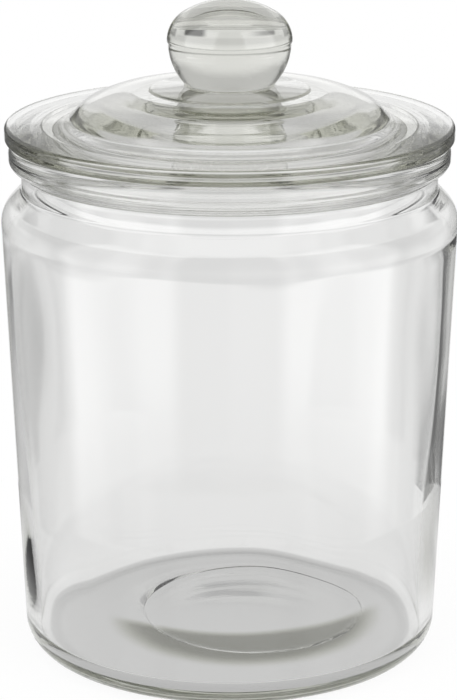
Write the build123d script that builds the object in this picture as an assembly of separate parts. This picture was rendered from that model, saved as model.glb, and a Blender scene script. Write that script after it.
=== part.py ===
"""Lidded glass canister: a tapered moulded jar, a pressed glass lid with a ball knob, and a clear finned seal.

Millimetres, +Z up. The origin is the centre of the ring that the jar stands on, and every piece is turned about Z.
Sections are drawn as corners (radius from the axis, height, rounding), so one list says a whole outline.
"""

import math
import os

from build123d import *

# Jar, outside
JAR_BASE_R = 87.3          # wall line carried down to the table
JAR_SHOULDER_R = 94.75     # wall line carried up to the shoulder corner
JAR_SHOULDER_Z = 188.0     # sharp corner of the shoulder, before rounding
SHOULDER_ROUND = 12.0
SHOULDER_CLIMB = 9.0       # how far the shoulder still climbs from its corner to the neck
HEEL_ROUND = 13.5
NECK_R = 86.0
NECK_ROUND = 2.5           # hollows at both ends of the neck
BEAD_R = 91.0
BEAD_HEIGHT = 11.0
BEAD_CLIMB = 1.5           # rise of the bead's underside
BEAD_LOW_ROUND = 4.6
BEAD_TOP_ROUND = 5.0
RIM_Z = 217.0

# Jar, inside
WALL = 4.4
MOUTH_R = 80.5
MOUTH_LIP_ROUND = 1.6
INNER_SHOULDER_ROUND = 16.0
INNER_HEEL_ROUND = 5.5
FLOOR_Z = 6.2              # inner floor where it meets the heel
FLOOR_CROWN = 1.0          # rise of the inner floor to the axis
FLOOR_ROUND = 400.0

# Jar, underside
BEARING_IN_R = 67.0        # inner edge of the ring that the jar stands on
PUSH_RISE = 2.1            # rise of the push-up to the axis
PUSH_ROUND = 300.0
BEARING_ROUND = 20.0

# Lid, outside
SEAT_GAP = 0.3             # air left between the rim and the lid
FLANGE_R = 92.5
FLANGE_THICK = 6.7
FLANGE_TOP_ROUND = 1.8
FLANGE_LOW_ROUND = 1.6
DOME_FOOT_R = 65.8
DOME_FOOT_RISE = 1.3       # how far the flange climbs to the dome
DOME_FOOT_ROUND = 2.5
DOME_SIDE_R = 60.5         # where the dome turns down to its foot
DOME_SIDE_RISE = 8.0
DOME_SIDE_ROUND = 24.0
DOME_TOP_R = 47.0          # edge of the dome's flat top
DOME_TOP_RISE = 13.3
DOME_TOP_ROUND = 45.0
COLLAR_R = 32.5            # low step round the knob's foot
COLLAR_STEP = 0.7
COLLAR_ROUND = 0.7

# Knob, one piece with the lid
KNOB_R = 25.7
KNOB_EQUATOR_RISE = 19.4   # from the collar to the knob's widest line
KNOB_CROWN = 17.0          # from the widest line to the top
KNOB_SIDE_ROUND = 13.6     # upper side, before the flatter crown
KNOB_FOOT_ROUND = 1.4

# Lid, underside
PLUG_R = 76.5
PLUG_DEPTH = 13.6
PLUG_WALL = 6.0
PLUG_DRAFT = 1.2           # how much the plug's wall thickens upwards
PLUG_LIP = 0.9             # bead below the seal that keeps it on
PLUG_LIP_HEIGHT = 2.2
PLUG_ROUND = 0.9
LID_WALL = 9.8
UNDER_FOOT_IN = 1.8        # underside of the dome's foot, in from its top
UNDER_FOOT_RISE = 1.3
UNDER_SIDE_ROUND = 4.0

# Seal
SEAL_FIT = 0.08            # radial play between the seal and the plug
SEAL_GAP = 0.25            # play above and below the seal
SEAL_SLEEVE = 1.5
SEAL_ROUND = 0.3
FIN_COUNT = 3
FIN_ROOT = 1.5             # fin height at the sleeve
FIN_TIP = 0.8              # fin height at its tip
FIN_PLAY = 0.3             # air between the fins and the mouth

LID_Z = RIM_Z + SEAT_GAP
FLANGE_TOP_Z = LID_Z + FLANGE_THICK
COLLAR_Z = FLANGE_TOP_Z + DOME_TOP_RISE + COLLAR_STEP
MOST_OF_EDGE = 0.48        # a rounding takes at most this share of an edge


def rounded(corners):
    """Edges of an open outline through (radius, height, rounding) corners, each rounding limited by its edges."""
    points = [Vector(r, 0, z) for r, z, _ in corners]
    edges = []
    last = points[0]
    for before, here, after, corner in zip(points, points[1:], points[2:], corners[1:]):
        back = (before - here).normalized()
        ahead = (after - here).normalized()
        half_turn = math.radians(180 - back.get_angle(ahead)) / 2
        room = MOST_OF_EDGE * min((before - here).length, (after - here).length)
        setback = min(corner[2] * math.tan(half_turn), room)
        if setback < 1e-3:
            edges.append(Edge.make_line(last, here))
            last = here
            continue
        start = here + back * setback
        end = here + ahead * setback
        radius = setback / math.tan(half_turn)
        middle_way = (back + ahead).normalized()
        middle = here + middle_way * (radius / math.cos(half_turn) - radius)
        edges.append(Edge.make_line(last, start))
        edges.append(Edge.make_three_point_arc(start, middle, end))
        last = end
    edges.append(Edge.make_line(last, points[-1]))
    return edges


def turned(edges):
    """The solid that a closed outline makes when it is turned about Z."""
    return revolve(Face(Wire(edges)), Axis.Z)


def jar_wall_r(z):
    """Outer radius of the tapered wall at a height."""
    return JAR_BASE_R + (JAR_SHOULDER_R - JAR_BASE_R) * z / JAR_SHOULDER_Z


def jar():
    """Jar of one piece: push-up base, rounded heel, tapered wall, shoulder, neck and beaded rim."""
    bead_foot = RIM_Z - BEAD_HEIGHT
    neck_foot = JAR_SHOULDER_Z + SHOULDER_CLIMB
    inner_shoulder_z = JAR_SHOULDER_Z - WALL
    outside = [
        (0, PUSH_RISE, 0),
        (BEARING_IN_R / 2, PUSH_RISE * 0.8, PUSH_ROUND),
        (BEARING_IN_R, 0, BEARING_ROUND),
        (JAR_BASE_R, 0, HEEL_ROUND),
        (JAR_SHOULDER_R, JAR_SHOULDER_Z, SHOULDER_ROUND),
        (NECK_R, neck_foot, NECK_ROUND),
        (NECK_R, bead_foot, NECK_ROUND),
        (BEAD_R, bead_foot + BEAD_CLIMB, BEAD_LOW_ROUND),
        (BEAD_R, RIM_Z, BEAD_TOP_ROUND),
        (MOUTH_R, RIM_Z, MOUTH_LIP_ROUND),
    ]
    inside = [
        (MOUTH_R, neck_foot, INNER_SHOULDER_ROUND),
        (jar_wall_r(inner_shoulder_z) - WALL, inner_shoulder_z, SHOULDER_ROUND),
        (jar_wall_r(FLOOR_Z) - WALL, FLOOR_Z, INNER_HEEL_ROUND),
        (BEARING_IN_R / 2, FLOOR_Z + FLOOR_CROWN * 0.8, FLOOR_ROUND),
        (0, FLOOR_Z + FLOOR_CROWN, 0),
        (0, PUSH_RISE, 0),
    ]
    return turned(rounded(outside + inside))


def knob_edges():
    """Knob outline from its top on the axis down to its foot on the collar, with its two end points."""
    equator = COLLAR_Z + KNOB_EQUATOR_RISE
    top = equator + KNOB_CROWN
    side = KNOB_SIDE_ROUND
    crown = (KNOB_R ** 2 + KNOB_CROWN ** 2 - 2 * KNOB_R * side) / (2 * (KNOB_CROWN - side))
    crown_centre = Vector(0, 0, top - crown)
    side_centre = Vector(KNOB_R - side, 0, equator)
    meeting = side_centre + (side_centre - crown_centre).normalized() * side
    half_lean = math.atan2(meeting.X, meeting.Z - crown_centre.Z) / 2
    crown_middle = crown_centre + Vector(math.sin(half_lean), 0, math.cos(half_lean)) * crown
    side_middle = side_centre + ((meeting - side_centre) + Vector(side, 0, 0)).normalized() * side
    widest = Vector(KNOB_R, 0, equator)
    ball_centre = Vector(0, 0, equator)
    foot_z = COLLAR_Z + KNOB_FOOT_ROUND
    reach = KNOB_R + KNOB_FOOT_ROUND
    foot_centre = Vector(math.sqrt(reach ** 2 - (equator - foot_z) ** 2), 0, foot_z)
    waist = ball_centre + (foot_centre - ball_centre).normalized() * KNOB_R
    ball_middle = ball_centre + ((waist - ball_centre) + Vector(KNOB_R, 0, 0)).normalized() * KNOB_R
    foot = Vector(foot_centre.X, 0, COLLAR_Z)
    to_waist = (waist - foot_centre).normalized()
    foot_middle = foot_centre + (to_waist + Vector(0, 0, -1)).normalized() * KNOB_FOOT_ROUND
    edges = [
        Edge.make_three_point_arc(Vector(0, 0, top), crown_middle, meeting),
        Edge.make_three_point_arc(meeting, side_middle, widest),
        Edge.make_three_point_arc(widest, ball_middle, waist),
        Edge.make_three_point_arc(waist, foot_middle, foot),
    ]
    return edges, foot, Vector(0, 0, top)


def lid():
    """Lid of one piece: ball knob on a collar, dome, flat flange, and a plug with a lip that keeps the seal on."""
    knob, foot, top = knob_edges()
    plug_foot = LID_Z - PLUG_DEPTH
    plug_in = PLUG_R - PLUG_WALL
    lip_z = plug_foot + PLUG_LIP_HEIGHT
    dome_top_z = FLANGE_TOP_Z + DOME_TOP_RISE
    dome_side_z = FLANGE_TOP_Z + DOME_SIDE_RISE
    under_z = dome_top_z - LID_WALL
    outline = [
        (foot.X, COLLAR_Z, 0),
        (COLLAR_R, COLLAR_Z, COLLAR_ROUND),
        (COLLAR_R + COLLAR_STEP, COLLAR_Z - COLLAR_STEP, COLLAR_ROUND),
        (DOME_TOP_R, dome_top_z, DOME_TOP_ROUND),
        (DOME_SIDE_R, dome_side_z, DOME_SIDE_ROUND),
        (DOME_FOOT_R, FLANGE_TOP_Z + DOME_FOOT_RISE, DOME_FOOT_ROUND),
        (FLANGE_R, FLANGE_TOP_Z, FLANGE_TOP_ROUND),
        (FLANGE_R, LID_Z, FLANGE_LOW_ROUND),
        (PLUG_R, LID_Z, PLUG_ROUND),
        (PLUG_R, lip_z + PLUG_LIP, PLUG_ROUND),
        (PLUG_R + PLUG_LIP, lip_z, PLUG_ROUND),
        (PLUG_R + PLUG_LIP, plug_foot, PLUG_ROUND),
        (plug_in, plug_foot, PLUG_WALL / 3),
        (plug_in - PLUG_DRAFT, LID_Z, UNDER_SIDE_ROUND),
        (DOME_FOOT_R - UNDER_FOOT_IN, LID_Z + UNDER_FOOT_RISE, UNDER_SIDE_ROUND),
        (DOME_SIDE_R - LID_WALL * 0.55, dome_side_z - LID_WALL * 0.8, DOME_SIDE_ROUND),
        (DOME_TOP_R - LID_WALL * 0.25, under_z, DOME_TOP_ROUND),
        (0, under_z, 0),
    ]
    axis_line = Edge.make_line(Vector(0, 0, under_z), top)
    return turned(rounded(outline) + [axis_line] + knob)


def lid_seal():
    """Clear soft ring on the plug: a sleeve with thin fins that wipe the inside of the jar's mouth."""
    inner = PLUG_R + SEAL_FIT
    sleeve = inner + SEAL_SLEEVE
    tip = MOUTH_R - FIN_PLAY
    foot = LID_Z - PLUG_DEPTH + PLUG_LIP_HEIGHT + PLUG_LIP + SEAL_GAP
    head = LID_Z - PLUG_ROUND - SEAL_GAP
    pitch = (head - foot) / FIN_COUNT
    outline = [(inner, foot, 0), (sleeve, foot, SEAL_ROUND)]
    for number in range(FIN_COUNT):
        middle = foot + (number + 0.5) * pitch
        outline += [
            (sleeve, middle - FIN_ROOT / 2, SEAL_ROUND),
            (tip, middle - FIN_TIP / 2, SEAL_ROUND),
            (tip, middle + FIN_TIP / 2, SEAL_ROUND),
            (sleeve, middle + FIN_ROOT / 2, SEAL_ROUND),
        ]
    outline += [(sleeve, head, SEAL_ROUND), (inner, head, 0), (inner, foot, 0)]
    return turned(rounded(outline))


os.makedirs("parts", exist_ok=True)
for name, make in {"jar": jar, "lid": lid, "lid_seal": lid_seal}.items():
    export_step(make(), f"parts/{name}.step")
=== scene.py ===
"""Lidded glass canister: jar, ball-knob lid and clear seal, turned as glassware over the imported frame."""

import math

import bpy
from bpy.props import FloatProperty, FloatVectorProperty, IntProperty, PointerProperty
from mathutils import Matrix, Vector


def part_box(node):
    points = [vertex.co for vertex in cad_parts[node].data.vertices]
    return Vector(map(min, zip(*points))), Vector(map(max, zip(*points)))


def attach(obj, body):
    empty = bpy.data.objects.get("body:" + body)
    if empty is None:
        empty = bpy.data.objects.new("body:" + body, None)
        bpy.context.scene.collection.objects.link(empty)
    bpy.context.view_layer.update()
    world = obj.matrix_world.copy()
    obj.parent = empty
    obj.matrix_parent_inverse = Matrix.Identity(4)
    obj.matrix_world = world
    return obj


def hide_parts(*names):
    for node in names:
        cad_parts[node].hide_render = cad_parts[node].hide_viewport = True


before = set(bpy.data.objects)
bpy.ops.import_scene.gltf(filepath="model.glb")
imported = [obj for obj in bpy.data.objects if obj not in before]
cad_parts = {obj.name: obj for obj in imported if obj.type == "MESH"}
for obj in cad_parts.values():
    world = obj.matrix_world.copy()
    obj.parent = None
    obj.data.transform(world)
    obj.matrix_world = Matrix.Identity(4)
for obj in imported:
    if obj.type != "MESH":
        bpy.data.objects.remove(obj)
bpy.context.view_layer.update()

bl_info = {
    "name": "Glass canister",
    "version": (1, 0, 0),
    "blender": (4, 5, 0),
    "location": "View3D > Sidebar > Canister",
    "description": "Models a lidded glass canister around its CAD frame and sets a white studio stage",
    "category": "Add Mesh",
}

MM = 0.001
COLUMNS = 240              # facets round a turned piece
ARC_STEP = 7.0             # degrees between points of a rounded edge
LONGEST_RUN = 5.0          # mm between points of a straight wall
EDGE_GUARD = 0.35          # mm between a rounding and the next point, so that flats stay flat
MOST_OF_EDGE = 0.48        # a rounding takes at most this share of an edge
NO_RUN = 1e-4              # mm, a straight shorter than this isn't drawn
NO_ROUND = 1e-3            # mm, a rounding smaller than this stays a corner
WELD = 0.002               # mm, points closer than this become one
SEAT_GAP = 0.3             # mm of air between the rim and the lid

_, JAR_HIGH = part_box("jar")
LID_LOW, LID_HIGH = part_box("lid")
SEAL_LOW, SEAL_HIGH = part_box("lid_seal")


def linear(hex_colour):
    """Linear red, green and blue of an sRGB hex colour."""
    parts = [int(hex_colour[i:i + 2], 16) / 255 for i in (1, 3, 5)]
    return [p / 12.92 if p <= 0.04045 else ((p + 0.055) / 1.055) ** 2.4 for p in parts]


def length(name, description, default):
    """A size in metres, given in millimetres."""
    return FloatProperty(name=name, description=description, default=default * MM, unit="LENGTH", precision=5)


def colour(name, description, hex_colour):
    """A linear colour, given in sRGB hex."""
    return FloatVectorProperty(
        name=name, description=description, default=linear(hex_colour), subtype="COLOR", size=3, min=0, max=1
    )


def tint_density(default):
    """How strongly a body takes on its tint."""
    return FloatProperty(
        name="Tint density", description="Strength of the tint, per metre", default=default, min=0
    )


class CanisterJar(bpy.types.PropertyGroup):
    """Sizes and glass of the jar."""

    base_r: length("Base radius", "Wall line carried down to the table", 87.3)
    shoulder_r: length("Shoulder radius", "Wall line carried up to the shoulder corner", 94.75)
    shoulder_z: length("Shoulder height", "Corner of the shoulder, before rounding", 188.0)
    shoulder_climb: length("Shoulder climb", "Rise from the shoulder corner to the neck", 9.0)
    neck_r: length("Neck radius", "Outside of the neck under the rim bead", 86.0)
    bead_r: length("Rim bead radius", "Outside of the bead at the rim", 91.0)
    bead_height: length("Rim bead height", "Height of the bead at the rim", 11.0)
    rim_z: length("Rim height", "Top of the jar", JAR_HIGH.z / MM)
    mouth_r: length("Mouth radius", "Inside of the mouth", 80.5)
    wall: length("Wall", "Thickness of the side wall", 4.4)
    floor_z: length("Floor height", "Inner floor where it meets the heel", 6.2)
    push_up: length("Push-up", "Rise of the underside to the axis", 2.1)
    ripple: length("Ripple", "How far the inner wall wanders in and out", 1.5)
    ripple_width: length("Ripple width", "Distance from one wander of the inner wall to the next", 36.0)
    mark_r: length("Mould mark radius", "Off-centre ring that the blank mould leaves under the base", 47.0)
    mark_depth: length("Mould mark depth", "Depth of that ring", 0.13)
    knurl: length("Knurl depth", "Depth of the grip marks round the foot", 0.22)
    tint: colour("Glass tint", "Colour that the glass takes on in depth", "#A9AD93")
    density: tint_density(5.5)


class CanisterLid(bpy.types.PropertyGroup):
    """Sizes and glass of the lid and its knob."""

    flange_r: length("Flange radius", "Outside of the flat flange", LID_HIGH.x / MM)
    flange_thick: length("Flange thickness", "Thickness of the flat flange", 6.7)
    dome_foot_r: length("Dome foot radius", "Where the dome rises from the flange", 65.8)
    dome_foot_rise: length("Dome foot rise", "How far the flange climbs to the dome", 1.3)
    dome_side_r: length("Dome side radius", "Where the dome turns down to its foot", 60.5)
    dome_side_rise: length("Dome side rise", "Height of that turn above the flange", 8.0)
    dome_top_r: length("Dome top radius", "Edge of the dome's flat top", 47.0)
    dome_top_rise: length("Dome top rise", "Height of the flat top above the flange", 13.3)
    collar_r: length("Collar radius", "Low step round the knob's foot", 32.5)
    collar_step: length("Collar step", "Height of that step", 0.7)
    wall: length("Dome wall", "Thickness of the dome", 9.8)
    knob_r: length("Knob radius", "Widest line of the knob", 25.7)
    knob_crown: length("Knob crown", "From the widest line to the top of the knob", 17.0)
    parting: length("Parting step", "How far the knob's lower mould half sits inside the upper one", 0.45)
    plug_r: length("Plug radius", "Outside of the plug that enters the mouth", 76.5)
    plug_wall: length("Plug wall", "Thickness of the plug at its foot", 6.0)
    tint: colour("Glass tint", "Colour that the glass takes on in depth", "#A6A88C")
    density: tint_density(8.5)


class CanisterSeal(bpy.types.PropertyGroup):
    """Sizes and finish of the clear finned seal."""

    fit: length("Fit", "Radial play between the seal and the plug", 0.08)
    sleeve: length("Sleeve", "Thickness of the sleeve", 1.5)
    fins: IntProperty(name="Fins", description="Number of fins that wipe the mouth", default=3, min=1, max=6)
    fin_root: length("Fin root", "Height of a fin at the sleeve", 1.5)
    fin_tip: length("Fin tip", "Height of a fin at its tip", 0.8)
    tint: colour("Seal tint", "Colour that the soft plastic takes on in depth", "#DADCD2")
    density: tint_density(6.0)


class CanisterStage(bpy.types.PropertyGroup):
    """Table, light and camera."""

    table_r: length("Table radius", "White table round the canister", 225.0)
    camera_back: length("Camera distance", "How far the camera stands in front of the canister", 1091.2)
    camera_height: length("Camera height", "Height of the camera above the table", 451.2)
    camera_tilt: FloatProperty(
        name="Camera tilt",
        description="How far the camera looks down",
        default=math.radians(16.6),
        subtype="ANGLE",
    )
    camera_lens: FloatProperty(
        name="Lens", description="Focal length over a 36 mm frame", default=139.1, unit="CAMERA"
    )


class Pen:
    """Draws a half-section in the plane y = 0, in millimetres: runs are extruded, and arcs are spun."""

    def __init__(self, name, r, z):
        if bpy.context.mode != "OBJECT":
            bpy.ops.object.mode_set(mode="OBJECT")
        bpy.ops.object.select_all(action="DESELECT")
        bpy.ops.mesh.primitive_plane_add(size=MM)
        self.piece = bpy.context.object
        self.piece.name = name
        self.piece.data.name = name
        bpy.ops.object.mode_set(mode="EDIT")
        bpy.ops.mesh.select_mode(type="VERT")
        bpy.ops.mesh.merge(type="CENTER")
        bpy.ops.transform.translate(value=(r * MM, 0, z * MM))
        self.at = Vector((r, z))

    def step(self, point):
        """One straight edge to a point."""
        move = (point - self.at) * MM
        bpy.ops.mesh.extrude_vertices_move(TRANSFORM_OT_translate={"value": (move.x, 0, move.y)})
        self.at = point.copy()

    def run(self, r, z):
        """A straight run in short edges, with a close edge at each end."""
        start = self.at.copy()
        way = Vector((r, z)) - start
        reach = way.length
        if reach < NO_RUN:
            return
        if reach > 4 * EDGE_GUARD:
            pieces = max(1, math.ceil((reach - 2 * EDGE_GUARD) / LONGEST_RUN))
            inner = [EDGE_GUARD + (reach - 2 * EDGE_GUARD) * i / pieces for i in range(pieces + 1)]
            for distance in inner:
                self.step(start + way * (distance / reach))
        self.step(start + way)

    def arc(self, centre, degrees):
        """An arc about a centre, anticlockwise where the angle is positive."""
        steps = max(3, math.ceil(abs(degrees) / ARC_STEP))
        bpy.ops.mesh.spin(
            steps=steps, angle=math.radians(degrees), center=(centre.x * MM, 0, centre.y * MM), axis=(0, 1, 0)
        )
        turn = math.radians(degrees)
        arm = self.at - centre
        self.at = centre + Vector((
            arm.x * math.cos(turn) - arm.y * math.sin(turn),
            arm.x * math.sin(turn) + arm.y * math.cos(turn),
        ))

    def outline(self, corners):
        """Runs through (radius, height, rounding) corners, each rounding limited by its edges."""
        points = [self.at.copy()] + [Vector(c[:2]) for c in corners]
        for before, here, after, corner in zip(points, points[1:], points[2:], corners):
            come = (here - before).normalized()
            go = (after - here).normalized()
            turn = math.atan2(come.x * go.y - come.y * go.x, come.dot(go))
            half = math.tan(abs(turn) / 2)
            room = MOST_OF_EDGE * min((here - before).length, (after - here).length)
            setback = min(corner[2] * half, room)
            if setback < NO_ROUND:
                self.run(*here)
                continue
            side = math.copysign(setback / half, turn)
            start = here - come * setback
            self.run(*start)
            self.arc(start + Vector((-come.y, come.x)) * side, math.degrees(turn))
        self.run(*points[-1])

    def lathe(self, columns=COLUMNS):
        """Turns the drawn section about the upright axis into a closed shell."""
        bpy.ops.mesh.select_all(action="SELECT")
        bpy.ops.mesh.spin(steps=columns, angle=2 * math.pi, center=(0, 0, 0), axis=(0, 0, 1))
        bpy.ops.mesh.select_all(action="SELECT")
        bpy.ops.mesh.remove_doubles(threshold=WELD * MM)
        bpy.ops.mesh.normals_make_consistent(inside=False)
        bpy.ops.mesh.select_all(action="DESELECT")
        bpy.ops.object.mode_set(mode="OBJECT")
        return self.piece


def pick(piece, wanted):
    """Selects the points of a piece that pass a test of their place in millimetres, and enters edit mode."""
    bpy.ops.object.mode_set(mode="EDIT")
    bpy.ops.mesh.select_mode(type="VERT")
    bpy.ops.mesh.select_all(action="DESELECT")
    bpy.ops.object.mode_set(mode="OBJECT")
    for point in piece.data.vertices:
        point.select = wanted(point.co / MM)
    bpy.ops.object.mode_set(mode="EDIT")


def apply_modifiers(piece):
    """Applies every modifier of a piece, in order."""
    for modifier in list(piece.modifiers):
        bpy.ops.object.modifier_apply(modifier=modifier.name)


def settle(piece, material, body, node):
    """Finishes a piece: smooth shading, material, body, slot and the CAD node that it stands for."""
    bpy.ops.object.shade_smooth()
    piece.data.materials.clear()
    piece.data.materials.append(material)
    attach(piece, body)
    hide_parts(node)


def add_node(tree, kind, inputs=None, **settings):
    """Adds a node with its settings, links or sets its inputs, and gives its outputs."""
    made = tree.nodes.new(kind)
    for key, value in settings.items():
        setattr(made, key, value)
    for key, value in (inputs or {}).items():
        if isinstance(value, bpy.types.NodeSocket):
            tree.links.new(value, made.inputs[key])
        else:
            made.inputs[key].default_value = value
    return made.outputs


def clear_material(name, tint, density, ior, worn, wave_mm, wave_depth_mm):
    """A see-through body with tint in depth, a slow surface wave and a faint change of polish."""
    material = bpy.data.materials.new(name)
    material.use_nodes = True
    tree = material.node_tree
    tree.nodes.clear()
    place = add_node(tree, "ShaderNodeTexCoord")["Object"]
    wave = add_node(
        tree,
        "ShaderNodeTexNoise",
        {"Vector": place, "Scale": 1 / (wave_mm * MM), "Detail": 1.0, "Roughness": 0.4},
    )["Fac"]
    bump = add_node(tree, "ShaderNodeBump", {"Height": wave, "Distance": wave_depth_mm * MM, "Strength": 1.0})
    polish = 0.0
    if worn > 0:
        polish = add_node(
            tree,
            "ShaderNodeMapRange",
            {"Value": wave, "From Min": 0.3, "From Max": 0.7, "To Min": worn / 2, "To Max": worn},
        )["Result"]
    shader = add_node(
        tree,
        "ShaderNodeBsdfPrincipled",
        {
            "Base Color": (*linear("#FFFFFF"), 1),
            "Roughness": polish,
            "IOR": ior,
            "Transmission Weight": 1.0,
            "Normal": bump["Normal"],
        },
    )
    depth = add_node(tree, "ShaderNodeVolumeAbsorption", {"Color": (*tint, 1), "Density": density})
    add_node(tree, "ShaderNodeOutputMaterial", {"Surface": shader["BSDF"], "Volume": depth["Volume"]})
    return material


class CANISTER_OT_jar(bpy.types.Operator):
    """Models the jar: push-up base, heel, tapered wall, shoulder, neck and beaded rim."""

    bl_idname = "canister.model_jar"
    bl_label = "Jar"

    COLUMNS = 360              # facets round the jar, two for each grip mark
    BEARING_IN_R = 67.0        # inner edge of the ring that the jar stands on
    BEARING_ROUND = 20.0
    OPEN_IN = 3.0              # from that edge in to where the drawn section starts
    HEEL_ROUND = 13.5
    SHOULDER_ROUND = 12.0
    NECK_ROUND = 2.5
    BEAD_CLIMB = 1.5           # rise of the bead's underside
    BEAD_LOW_ROUND = 4.6
    BEAD_TOP_ROUND = 5.0
    MOUTH_LIP_ROUND = 1.6
    INNER_SHOULDER_ROUND = 16.0
    INNER_HEEL = 5.0           # angled band between the inner wall and the floor
    INNER_HEEL_ROUND = 2.0
    FLOOR_CROWN = 1.0          # rise of the inner floor to the axis
    FLOOR_HALFWAY = 0.8        # share of that rise that is reached halfway in
    FLOOR_ROUND = 400.0
    RIPPLE_FOOT = 26.0         # lowest point of the inner wall that wanders
    RIPPLE_HEAD = 14.0         # from the inner shoulder down to the highest one
    RIPPLE_FADE = 12           # rounds of smoothing at its ends
    RIPPLE_STRETCH = 3.2       # how much longer a wander is up the wall than round it
    KNURL_LOW = 2.6
    KNURL_HIGH = 5.0
    KNURL_IN_R = 80.0          # the grip marks are outside this radius
    KNURL_MID_R = 84.0
    MARK_AT = (9.5, 11.0)      # centre of the mould mark, off the axis
    MARK_HALF = 0.7            # half the width of its groove
    MARK_GROOVE = ((0.5, 0.6), (0, 1), (-0.5, 0.6), (-1, 0))   # share of half the width, share of the depth
    DRIFT_RINGS = 5            # rings from the bearing edge in to the mark
    CLOSING_RINGS = 12         # rings from the mark in to its centre

    def execute(self, context):
        sizes = context.scene.canister_jar
        base_r, shoulder_r, shoulder_z, neck_r, bead_r, bead_height, rim, mouth, wall, floor, push = (
            v / MM
            for v in (
                sizes.base_r, sizes.shoulder_r, sizes.shoulder_z, sizes.neck_r, sizes.bead_r, sizes.bead_height,
                sizes.rim_z, sizes.mouth_r, sizes.wall, sizes.floor_z, sizes.push_up,
            )
        )
        neck_foot = shoulder_z + sizes.shoulder_climb / MM
        bead_foot = rim - bead_height
        slope = (shoulder_r - base_r) / shoulder_z
        inner_shoulder_z = shoulder_z - wall
        half_r = self.BEARING_IN_R / 2
        open_r = self.BEARING_IN_R - self.OPEN_IN

        pen = Pen("jar_glass", open_r, push * (1 - (open_r / self.BEARING_IN_R) ** 2) ** 2)
        pen.outline([
            (self.BEARING_IN_R, 0, self.BEARING_ROUND),
            (base_r, 0, self.HEEL_ROUND),
            (shoulder_r, shoulder_z, self.SHOULDER_ROUND),
            (neck_r, neck_foot, self.NECK_ROUND),
            (neck_r, bead_foot, self.NECK_ROUND),
            (bead_r, bead_foot + self.BEAD_CLIMB, self.BEAD_LOW_ROUND),
            (bead_r, rim, self.BEAD_TOP_ROUND),
            (mouth, rim, self.MOUTH_LIP_ROUND),
            (mouth, neck_foot, self.INNER_SHOULDER_ROUND),
            (base_r + slope * inner_shoulder_z - wall, inner_shoulder_z, self.SHOULDER_ROUND),
            (base_r + slope * floor - wall, floor + self.INNER_HEEL, self.INNER_HEEL_ROUND),
            (base_r + slope * floor - wall - self.INNER_HEEL, floor, self.INNER_HEEL_ROUND),
            (half_r, floor + self.FLOOR_CROWN * self.FLOOR_HALFWAY, self.FLOOR_ROUND),
            (0, floor + self.FLOOR_CROWN, 0),
        ])
        jar = pen.lathe(self.COLUMNS)
        self.ripple_inside(jar, sizes, slope, base_r - wall, inner_shoulder_z)
        self.knurl_foot(jar, sizes)
        self.push_up(jar, sizes, push, open_r)
        # Soda-lime glass, blown in a mould and fire-polished: clear, with an olive cast only where it is thick,
        # and slow waves in its skin that bend reflections.
        glass = clear_material("soda_lime_glass_blown", sizes.tint, sizes.density, 1.52, 0.0, 34, 0.05)
        settle(jar, glass, "jar", "jar")
        return {"FINISHED"}

    def ripple_inside(self, jar, sizes, slope, base_in_r, top_z):
        """The inner wall wanders in and out, more round the jar than up it, as blown glass does."""
        low, high = self.RIPPLE_FOOT, top_z - self.RIPPLE_HEAD
        pick(jar, lambda p: low < p.z < high and math.hypot(p.x, p.y) < base_in_r + slope * p.z + 1)
        group = jar.vertex_groups.new(name="inner_wall")
        bpy.ops.object.vertex_group_assign()
        bpy.ops.mesh.select_all(action="SELECT")
        bpy.ops.object.vertex_group_smooth(group_select_mode="ACTIVE", factor=0.5, repeat=self.RIPPLE_FADE)
        bpy.ops.object.mode_set(mode="OBJECT")
        guide = bpy.data.objects.new("ripple_guide", None)
        bpy.context.scene.collection.objects.link(guide)
        guide.scale = (1, 1, self.RIPPLE_STRETCH)
        bpy.context.view_layer.update()
        clouds = bpy.data.textures.new("ripple", "CLOUDS")
        clouds.noise_scale = sizes.ripple_width
        clouds.noise_depth = 0
        waver = jar.modifiers.new("ripple", "DISPLACE")
        waver.texture = clouds
        waver.texture_coords = "OBJECT"
        waver.texture_coords_object = guide
        waver.vertex_group = group.name
        waver.mid_level = 0.5
        waver.strength = sizes.ripple
        apply_modifiers(jar)
        bpy.data.objects.remove(guide)
        jar.vertex_groups.clear()

    def knurl_foot(self, jar, sizes):
        """A ring of small grip marks round the heel: every other column of points is pressed in."""
        pitch = 2 * math.pi / self.COLUMNS
        pick(
            jar,
            lambda p: self.KNURL_LOW < p.z < self.KNURL_HIGH
            and math.hypot(p.x, p.y) > self.KNURL_IN_R
            and round(math.atan2(p.y, p.x) / pitch) % 2 == 0,
        )
        factor = 1 - sizes.knurl / (self.KNURL_MID_R * MM)
        bpy.ops.transform.resize(value=(factor, factor, 1), center_override=(0, 0, 0))
        bpy.ops.object.mode_set(mode="OBJECT")

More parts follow.
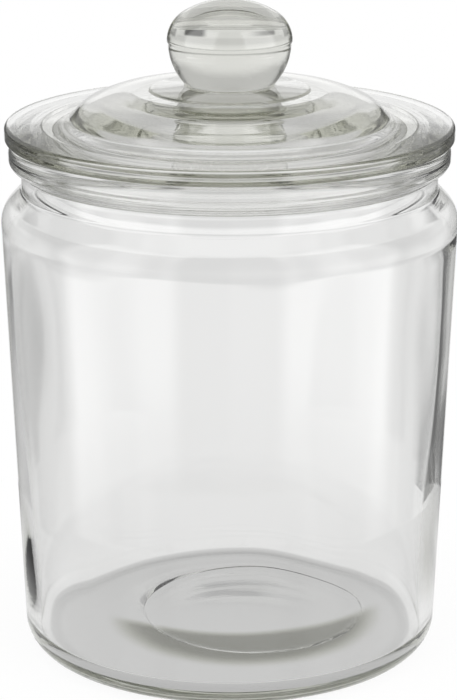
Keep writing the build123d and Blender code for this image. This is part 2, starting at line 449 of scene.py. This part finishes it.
    def push_up(self, jar, sizes, push, open_r):
        """Closes the underside by rings that drift off the axis, as the blank mould's fine ring mark does.

        Each ring is a flat circle, leant so that its lowest and highest points are on the push-up.
        """
        mark_at = Vector(self.MARK_AT)
        mark_r = sizes.mark_r / MM
        depth, half = sizes.mark_depth / MM, self.MARK_HALF
        drift_steps = [i / self.DRIFT_RINGS for i in range(1, self.DRIFT_RINGS + 1)]
        closing_steps = [i / self.CLOSING_RINGS for i in range(1, self.CLOSING_RINGS)]
        rings = [(open_r + (mark_r + half - open_r) * t, mark_at * t, 0) for t in drift_steps]
        rings += [(mark_r + half * t, mark_at, depth * lift) for t, lift in self.MARK_GROOVE]
        rings += [((mark_r - half) * (1 - t), mark_at, 0) for t in closing_steps]
        pick(jar, lambda p: p.z < 1 and abs(math.hypot(p.x, p.y) - open_r) < 0.02)
        span = self.BEARING_IN_R ** 2
        last_r, last_at, last_tilt = open_r, Vector((0, 0)), Vector((0, 0))
        last_z = push * (1 - open_r ** 2 / span) ** 2
        for radius, at, lift in rings:
            low, high = (push * (1 - (radius + side * at.length) ** 2 / span) ** 2 for side in (1, -1))
            height = (low + high) / 2 + lift
            tilt = at.normalized() * (high - low) / (2 * radius)
            drift = (at - last_at) * MM
            bpy.ops.mesh.extrude_region_move(
                TRANSFORM_OT_translate={"value": (drift.x, drift.y, (height - last_z) * MM)}
            )
            centre = (at.x * MM, at.y * MM, height * MM)
            scale = radius / last_r
            bpy.ops.transform.resize(value=(scale, scale, scale), center_override=centre)
            for axis, turn in (("X", tilt.y - last_tilt.y), ("Y", last_tilt.x - tilt.x)):
                bpy.ops.transform.rotate(value=turn, orient_axis=axis, center_override=centre)
            last_r, last_at, last_z, last_tilt = radius, at, height, tilt
        bpy.ops.mesh.merge(type="CENTER")
        bpy.ops.mesh.select_all(action="SELECT")
        bpy.ops.mesh.normals_make_consistent(inside=False)
        bpy.ops.mesh.select_all(action="DESELECT")
        bpy.ops.object.mode_set(mode="OBJECT")


class CANISTER_OT_lid(bpy.types.Operator):
    """Models the lid: ball knob, collar, dome, flat flange and the plug that carries the seal."""

    bl_idname = "canister.model_lid"
    bl_label = "Lid"

    COLLAR_ROUND = 0.7
    DOME_TOP_ROUND = 45.0
    DOME_SIDE_ROUND = 24.0
    DOME_FOOT_ROUND = 2.5
    FLANGE_TOP_ROUND = 1.8
    FLANGE_LOW_ROUND = 1.6
    PLUG_ROUND = 0.9
    PLUG_LIP = 0.9             # bead below the seal that keeps it on
    PLUG_LIP_HEIGHT = 2.2
    PLUG_DRAFT = 1.2           # how much the plug's wall thickens upwards
    UNDER_ROUND = 4.0
    UNDER_FOOT_IN = 1.8        # underside of the dome's foot, in from its top
    UNDER_FOOT_RISE = 1.3
    UNDER_SIDE_IN = 0.55       # underside of the dome's turn, in and down, as shares of the dome's wall
    UNDER_SIDE_DOWN = 0.8
    UNDER_TOP_IN = 0.25
    KNOB_SIDE_ROUND = 13.6     # upper side of the knob, before the flatter crown
    KNOB_FOOT_ROUND = 1.4
    PARTING_SLOPE = 0.8        # height of the moulding step, as a share of its depth

    def execute(self, context):
        sizes = context.scene.canister_lid
        seat = context.scene.canister_jar.rim_z / MM + SEAT_GAP
        flange_r, thick, foot_r, side_r, top_r, collar_r, step, wall, knob_r, crown_rise, plug_r, plug_wall = (
            v / MM
            for v in (
                sizes.flange_r, sizes.flange_thick, sizes.dome_foot_r, sizes.dome_side_r, sizes.dome_top_r,
                sizes.collar_r, sizes.collar_step, sizes.wall, sizes.knob_r, sizes.knob_crown, sizes.plug_r,
                sizes.plug_wall,
            )
        )
        flange_z = seat + thick
        side_z = flange_z + sizes.dome_side_rise / MM
        top_z = flange_z + sizes.dome_top_rise / MM
        collar_z = top_z + step
        plug_foot = LID_LOW.z / MM
        plug_in = plug_r - plug_wall
        under_z = top_z - wall
        lip, lip_z = self.PLUG_LIP, plug_foot + self.PLUG_LIP_HEIGHT

        pen = Pen("lid_glass", 0, LID_HIGH.z / MM)
        self.draw_knob(pen, knob_r, crown_rise, sizes.parting / MM, collar_z)
        pen.outline([
            (collar_r, collar_z, self.COLLAR_ROUND),
            (collar_r + step, collar_z - step, self.COLLAR_ROUND),
            (top_r, top_z, self.DOME_TOP_ROUND),
            (side_r, side_z, self.DOME_SIDE_ROUND),
            (foot_r, flange_z + sizes.dome_foot_rise / MM, self.DOME_FOOT_ROUND),
            (flange_r, flange_z, self.FLANGE_TOP_ROUND),
            (flange_r, seat, self.FLANGE_LOW_ROUND),
            (plug_r, seat, self.PLUG_ROUND),
            (plug_r, lip_z + lip, self.PLUG_ROUND),
            (plug_r + lip, lip_z, self.PLUG_ROUND),
            (plug_r + lip, plug_foot, self.PLUG_ROUND),
            (plug_in, plug_foot, plug_wall / 3),
            (plug_in - self.PLUG_DRAFT, seat, self.UNDER_ROUND),
            (foot_r - self.UNDER_FOOT_IN, seat + self.UNDER_FOOT_RISE, self.UNDER_ROUND),
            (side_r - wall * self.UNDER_SIDE_IN, side_z - wall * self.UNDER_SIDE_DOWN, self.DOME_SIDE_ROUND),
            (top_r - wall * self.UNDER_TOP_IN, under_z, self.DOME_TOP_ROUND),
            (0, under_z, 0),
        ])
        lid = pen.lathe()
        # Soda-lime glass, pressed thick in a mould: more olive than the jar because light crosses more of it.
        glass = clear_material("soda_lime_glass_pressed", sizes.tint, sizes.density, 1.52, 0.0, 30, 0.012)
        settle(lid, glass, "lid", "lid")
        return {"FINISHED"}

    def draw_knob(self, pen, knob_r, crown_rise, parting, collar_z):
        """Crown, upper side, parting step at the widest line, ball and foot hollow, from the top down."""
        top = pen.at.y
        equator = top - crown_rise
        side, hollow = self.KNOB_SIDE_ROUND, self.KNOB_FOOT_ROUND
        crown = (knob_r ** 2 + crown_rise ** 2 - 2 * knob_r * side) / (2 * (crown_rise - side))
        crown_centre = Vector((0, top - crown))
        side_centre = Vector((knob_r - side, equator))
        lean = math.degrees(math.atan2(side_centre.x, side_centre.y - crown_centre.y))
        pen.arc(crown_centre, -lean)
        pen.arc(side_centre, -(90 - lean))
        ball_r = knob_r - parting
        pen.run(ball_r, equator - self.PARTING_SLOPE * parting)
        centre = Vector((0, pen.at.y))
        hollow_centre_z = collar_z + hollow
        reach = ball_r + hollow
        hollow_r = math.sqrt(reach ** 2 - (centre.y - hollow_centre_z) ** 2)
        fall = math.degrees(math.atan2(centre.y - hollow_centre_z, hollow_r))
        pen.arc(centre, -fall)
        pen.arc(Vector((hollow_r, hollow_centre_z)), 90 - fall)


class CANISTER_OT_seal(bpy.types.Operator):
    """Models the soft clear seal: a sleeve on the plug, with thin fins that wipe the mouth."""

    bl_idname = "canister.model_seal"
    bl_label = "Seal"

    EDGE_ROUND = 0.3

    def execute(self, context):
        sizes = context.scene.canister_seal
        inner = (context.scene.canister_lid.plug_r + sizes.fit) / MM
        sleeve = inner + sizes.sleeve / MM
        tip = SEAL_HIGH.x / MM
        foot, head = SEAL_LOW.z / MM, SEAL_HIGH.z / MM
        root_half, tip_half = sizes.fin_root / MM / 2, sizes.fin_tip / MM / 2
        pitch = (head - foot) / sizes.fins
        corners = [(sleeve, foot, self.EDGE_ROUND)]
        for number in range(sizes.fins):
            middle = foot + (number + 0.5) * pitch
            corners += [
                (sleeve, middle - root_half, self.EDGE_ROUND),
                (tip, middle - tip_half, self.EDGE_ROUND),
                (tip, middle + tip_half, self.EDGE_ROUND),
                (sleeve, middle + root_half, self.EDGE_ROUND),
            ]
        corners += [(sleeve, head, self.EDGE_ROUND), (inner, head, 0), (inner, foot, 0)]
        pen = Pen("lid_seal_ring", inner, foot)
        pen.outline(corners)
        seal = pen.lathe()
        # Clear soft vinyl, extruded and joined: almost colourless, with a faint moulding haze.
        vinyl = clear_material("clear_soft_vinyl", sizes.tint, sizes.density, 1.46, 0.09, 8, 0.02)
        settle(seal, vinyl, "seal", "lid_seal")
        return {"FINISHED"}


class CANISTER_OT_stage(bpy.types.Operator):
    """Sets the white table, the studio surround and the camera."""

    bl_idname = "canister.set_stage"
    bl_label = "Stage"

    BOUNCES = 40               # light crosses many faces of glass before it leaves
    MIRROR_BOUNCES = 24
    TABLE_DROP = 0.2           # mm of air below the jar
    LIT, LIT_FRONT = 0.7, 0.35               # painted light of the table as the glass mirrors it, and how much more is painted in front
    LIT_RIM, LIT_FLANK = 0.25, 0.2           # the same painted light, dimmer, at the table's edge and at its sides
    PLAIN, SHADE = 0.84, 0.56                # table as the glass shows it, and the same with painted shade under the jar
    DARK_SHADE, CONTACT = -0.42, -0.1        # how much darker the painted shade is in the crescent, and the painted contact shadow at the bearing ring
    SHADOW_SHARE = 0.07        # how much of the table's look is lit by the studio
    FRAME_WIDTH = 36.0         # mm, width of the camera's frame
    CAMERA_SHIFT = -0.0017     # share of that width

    # Parts of the table, each by its four soft edges: metres from the axis, or degrees from the front or
    # the back. All but SHADOW place painted shade or painted light.
    SHADOW = (-2, -1, 0.09, 0.26)
    UNDER_JAR = (-2, -1, 0.076, 0.092)
    CONTACT_SHADOW_RING = (0.070, 0.075, 0.084, 0.092)
    RIM = (0.14, 0.225, 8, 9)
    FRONT = (-120, -80, 80, 120)
    FLANK = (50, 64, 88, 104)
    FLANK_OUT = (0.1, 0.17, 8, 9)

    # The crescent of deep painted shade under the jar: inside the first circle and outside the second, each by
    # its centre in millimetres and the soft edges of its distance in metres.
    CRESCENT = (((6, 10), (-2, -1, 0.047, 0.061)), ((0, 73), (0.081, 0.089, 8, 9)))

    # Studio surround, each row: the side that its bearings count from, the soft edges of a panel in degrees
    # to the right of it, the soft edges of it in degrees of elevation, and how much light it adds. A dark strip
    # takes light away. The glass shows the first list through itself and mirrors the second.
    SURROUND = 0.2
    SEEN_THROUGH = (
        ("back", (-190, -189, 190, 191), (-99, -98, -9, -5), 0.64),
        ("back", (-72, -60, 60, 72), (-9, -5, 6, 18), 0.72),
        ("back", (-58, -46, 46, 58), (6, 18, 52, 64), 0.42),
        ("back", (-58, -46, 46, 58), (-99, -98, -28, -22.5), -0.25),
        ("back", (-58, -46, 46, 58), (-14.5, -12.5, -10, -7), -0.12),
        ("back", (14, 20, 35, 39.5), (-30, -22, -15.5, -13), -0.70),
        ("back", (-39.5, -35, -27, -9), (-20.4, -17.6, -16, -13.5), -0.52),
        ("back", (50.5, 56, 72, 80), (-30, -22, -12, -9), -0.45),
        ("back", (-80, -72, -56, -50.5), (-30, -22, -12, -9), -0.45),
        ("back", (100, 108, 124, 129.5), (-30, -22, -12, -9), -0.45),
        ("back", (-129.5, -124, -108, -100), (-30, -22, -12, -9), -0.45),
        ("back", (104, 112, 124, 136), (-9, -5, 50, 64), 0.6),
        ("back", (-136, -124, -112, -104), (-9, -5, 50, 64), 0.6),
        ("front", (-42, -28, 28, 42), (-9, -5, 50, 64), 0.6),
        ("back", (-190, -189, 190, 191), (50, 66, 95, 96), 0.45),
    )
    MIRRORED = (
        ("back", (-16, -12, 12, 16), (-99, -98, 11.4, 12.4), 0.60),
        ("back", (-75, -60, 60, 75), (2, 9, 34, 46), 0.5),
        ("front", (-97, -84, -2, 2), (-25.5, -20.5, 48, 62), 2.7),
        ("front", (-2, 2, 84, 97), (-25.5, -20.5, 48, 62), 3.0),
        ("front", (84, 97, 128, 142), (-99, -98, 48, 62), 0.5),
        ("front", (-33, -22, 22, 33), (-25.5, -20.5, 48, 62), -2.2),
        ("back", (-190, -189, 190, 191), (50, 66, 95, 96), 1.6),
    )

    def execute(self, context):
        scene = context.scene
        stage = scene.canister_stage
        scene.view_settings.view_transform = "Standard"
        cycles = scene.cycles
        cycles.max_bounces = cycles.transmission_bounces = cycles.transparent_max_bounces = self.BOUNCES
        cycles.glossy_bounces = self.MIRROR_BOUNCES
        self.light_world(scene)
        self.lay_table(stage)
        self.place_camera(scene, stage)
        return {"FINISHED"}

    def soft_band(self, tree, value, edges):
        """A band that fades in and out between four values."""
        up, down = (
            add_node(
                tree,
                "ShaderNodeMapRange",
                {"Value": value, "From Min": a, "From Max": b, "To Min": 0.0, "To Max": 1.0},
                interpolation_type="SMOOTHSTEP",
            )["Result"]
            for a, b in (edges[:2], edges[:1:-1])
        )
        return add_node(tree, "ShaderNodeMath", {0: up, 1: down}, operation="MULTIPLY")[0]

    def bearings(self, tree, way):
        """Degrees to the right of the back and of the front, and the parts of a direction."""
        parts = add_node(tree, "ShaderNodeSeparateXYZ", {"Vector": way})
        ahead = add_node(tree, "ShaderNodeMath", {0: parts["Y"], 1: -1}, operation="MULTIPLY")[0]
        turns = {}
        for side, depth in (("back", parts["Y"]), ("front", ahead)):
            turn = add_node(tree, "ShaderNodeMath", {0: parts["X"], 1: depth}, operation="ARCTAN2")[0]
            turns[side] = add_node(tree, "ShaderNodeMath", {0: turn}, operation="DEGREES")[0]
        return turns, parts

    def panels(self, tree, rows, turns, elevation):
        """Light of a list of panels in a direction."""
        light = self.SURROUND
        for side, across, upward, strength in rows:
            panel = self.soft_band(tree, turns[side], across)
            height = self.soft_band(tree, elevation, upward)
            panel = add_node(tree, "ShaderNodeMath", {0: panel, 1: height}, operation="MULTIPLY")[0]
            light = add_node(
                tree, "ShaderNodeMath", {0: panel, 1: strength, 2: light}, operation="MULTIPLY_ADD"
            )[0]
        return light

    def light_world(self, scene):
        """Surround of soft panels that the glass mirrors and shows through itself, white to the camera."""
        world = bpy.data.worlds.new("studio")
        scene.world = world
        world.use_nodes = True
        tree = world.node_tree
        tree.nodes.clear()
        way = add_node(tree, "ShaderNodeTexCoord")["Generated"]
        turns, parts = self.bearings(tree, way)
        climb = add_node(tree, "ShaderNodeMath", {0: parts["Z"]}, operation="ARCSINE")[0]
        elevation = add_node(tree, "ShaderNodeMath", {0: climb}, operation="DEGREES")[0]
        through = self.panels(tree, self.SEEN_THROUGH, turns, elevation)
        mirrored = self.panels(tree, self.MIRRORED, turns, elevation)
        ray = add_node(tree, "ShaderNodeLightPath")
        glass = add_node(
            tree, "ShaderNodeMix", {"Factor": ray["Is Reflection Ray"], "A": through, "B": mirrored}
        )[0]
        light = add_node(tree, "ShaderNodeMix", {"Factor": ray["Is Camera Ray"], "A": glass, "B": 1.0})[0]
        back = add_node(tree, "ShaderNodeBackground", {"Color": (1, 1, 1, 1), "Strength": light})
        add_node(tree, "ShaderNodeOutputWorld", {"Surface": back["Background"]})

    def lay_table(self, stage):
        """White table, plain to the camera but for the canister's soft shadow; to the glass it glows with
        painted light, brighter in front, and painted shade under the canister.
        """
        bpy.ops.object.select_all(action="DESELECT")
        bpy.ops.mesh.primitive_circle_add(
            vertices=96, radius=stage.table_r, fill_type="NGON", location=(0, 0, -self.TABLE_DROP * MM)
        )
        table = bpy.context.object
        table.name = "table"
        bpy.ops.object.transform_apply(location=True, rotation=True, scale=True)
        # Smooth white laminate under studio panels: it glows for the glass with painted light in place of
        # theirs, and has painted shade, tinted a little olive, below the canister.
        material = bpy.data.materials.new("white_laminate")
        material.use_nodes = True
        tree = material.node_tree
        tree.nodes.clear()
        place = add_node(tree, "ShaderNodeTexCoord")["Object"]
        turns, _ = self.bearings(tree, place)
        reach = add_node(tree, "ShaderNodeVectorMath", {"Vector": place}, operation="LENGTH")["Value"]
        near = self.soft_band(tree, reach, self.SHADOW)
        under = self.soft_band(tree, reach, self.UNDER_JAR)
        rim = self.soft_band(tree, reach, self.RIM)
        # Painted light: to the glass that mirrors it, the table glows brighter in front and dimmer at its rim
        # and its sides.
        front = self.soft_band(tree, turns["front"], self.FRONT)
        lit = add_node(
            tree, "ShaderNodeMath", {0: front, 1: self.LIT_FRONT, 2: self.LIT}, operation="MULTIPLY_ADD"
        )[0]
        mirrored = add_node(tree, "ShaderNodeMix", {"Factor": rim, "A": lit, "B": self.LIT_RIM})[0]
        aside = add_node(tree, "ShaderNodeMath", {0: turns["back"]}, operation="ABSOLUTE")[0]
        flank = self.soft_band(tree, aside, self.FLANK)
        flank_out = self.soft_band(tree, reach, self.FLANK_OUT)
        unlit = add_node(tree, "ShaderNodeMath", {0: flank, 1: flank_out}, operation="MULTIPLY")[0]
        mirrored = add_node(tree, "ShaderNodeMix", {"Factor": unlit, "A": mirrored, "B": self.LIT_FLANK})[0]
        # Painted shade: the table's glow is made darker under the jar, deepest in a crescent and at the ring
        # where the jar stands.
        circles = []
        for (x, y), edges in self.CRESCENT:
            centre = (x * MM, y * MM, 0)
            away = add_node(tree, "ShaderNodeVectorMath", {0: place, 1: centre}, operation="DISTANCE")["Value"]
            circles.append(self.soft_band(tree, away, edges))
        crescent = add_node(tree, "ShaderNodeMath", {0: circles[0], 1: circles[1]}, operation="MULTIPLY")[0]
        shade = add_node(
            tree, "ShaderNodeMath", {0: crescent, 1: self.DARK_SHADE, 2: self.SHADE}, operation="MULTIPLY_ADD"
        )[0]
        painted_contact_shadow = self.soft_band(tree, reach, self.CONTACT_SHADOW_RING)
        shade = add_node(
            tree, "ShaderNodeMath", {0: painted_contact_shadow, 1: self.CONTACT, 2: shade}, operation="MULTIPLY_ADD"
        )[0]
        through = add_node(tree, "ShaderNodeMix", {"Factor": under, "A": self.PLAIN, "B": shade})[0]
        ray = add_node(tree, "ShaderNodeLightPath")
        glass = add_node(
            tree, "ShaderNodeMix", {"Factor": ray["Is Reflection Ray"], "A": through, "B": mirrored}
        )[0]
        light = add_node(tree, "ShaderNodeMix", {"Factor": ray["Is Camera Ray"], "A": glass, "B": 1.0})[0]
        # Painted shade tint: where the crescent of painted shade lies, the table's glow turns a little olive.
        painted_shade_tint = add_node(tree, "ShaderNodeMath", {0: crescent, 1: under}, operation="MULTIPLY")[0]
        painted_shade_colour = add_node(
            tree,
            "ShaderNodeMix",
            {"Factor": painted_shade_tint, 6: (*linear("#FFFFFF"), 1), 7: (*linear("#F4F5DC"), 1)},
            data_type="RGBA",
        )[2]
        plain = add_node(tree, "ShaderNodeEmission", {"Color": painted_shade_colour, "Strength": light})
        matt = add_node(tree, "ShaderNodeBsdfDiffuse", {"Color": (*linear("#EEEEEC"), 1)})
        seen = add_node(tree, "ShaderNodeMath", {0: near, 1: ray["Is Camera Ray"]}, operation="MULTIPLY")[0]
        share = add_node(tree, "ShaderNodeMath", {0: seen, 1: self.SHADOW_SHARE}, operation="MULTIPLY")[0]
        both = add_node(tree, "ShaderNodeMixShader", {0: share, 1: plain["Emission"], 2: matt["BSDF"]})
        add_node(tree, "ShaderNodeOutputMaterial", {"Surface": both["Shader"]})
        table.data.materials.append(material)

    def place_camera(self, scene, stage):
        """Camera at the photograph's angle and framing."""
        bpy.ops.object.camera_add(
            location=(0, -stage.camera_back, stage.camera_height),
            rotation=(math.pi / 2 - stage.camera_tilt, 0, 0),
        )
        camera = bpy.context.object
        camera.name = "camera"
        camera.data.lens = stage.camera_lens
        camera.data.sensor_width = self.FRAME_WIDTH
        camera.data.shift_x = self.CAMERA_SHIFT
        scene.camera = camera


class CANISTER_PT_panel(bpy.types.Panel):
    """Sidebar panel with the canister's sizes, colours and steps."""

    bl_label = "Glass canister"
    bl_idname = "CANISTER_PT_panel"
    bl_space_type = "VIEW_3D"
    bl_region_type = "UI"
    bl_category = "Canister"

    def draw(self, context):
        for group, step in STEPS:
            box = self.layout.box()
            box.operator(step.bl_idname)
            settings = getattr(context.scene, group)
            for name in settings.__annotations__:
                box.prop(settings, name)


GROUPS = {
    "canister_jar": CanisterJar,
    "canister_lid": CanisterLid,
    "canister_seal": CanisterSeal,
    "canister_stage": CanisterStage,
}
STEPS = (
    ("canister_jar", CANISTER_OT_jar),
    ("canister_lid", CANISTER_OT_lid),
    ("canister_seal", CANISTER_OT_seal),
    ("canister_stage", CANISTER_OT_stage),
)
CLASSES = (*GROUPS.values(), *(step for _, step in STEPS), CANISTER_PT_panel)


def register():
    """Adds the classes, and their settings to the scene."""
    for item in CLASSES:
        bpy.utils.register_class(item)
    for name, group in GROUPS.items():
        setattr(bpy.types.Scene, name, PointerProperty(type=group))


def unregister():
    """Takes the settings and classes away again."""
    for name in GROUPS:
        delattr(bpy.types.Scene, name)
    for item in reversed(CLASSES):
        bpy.utils.unregister_class(item)


def main():
    register()
    bpy.ops.canister.model_jar()
    bpy.ops.canister.model_lid()
    bpy.ops.canister.model_seal()
    bpy.ops.canister.set_stage()


if __name__ == "__main__":
    main()
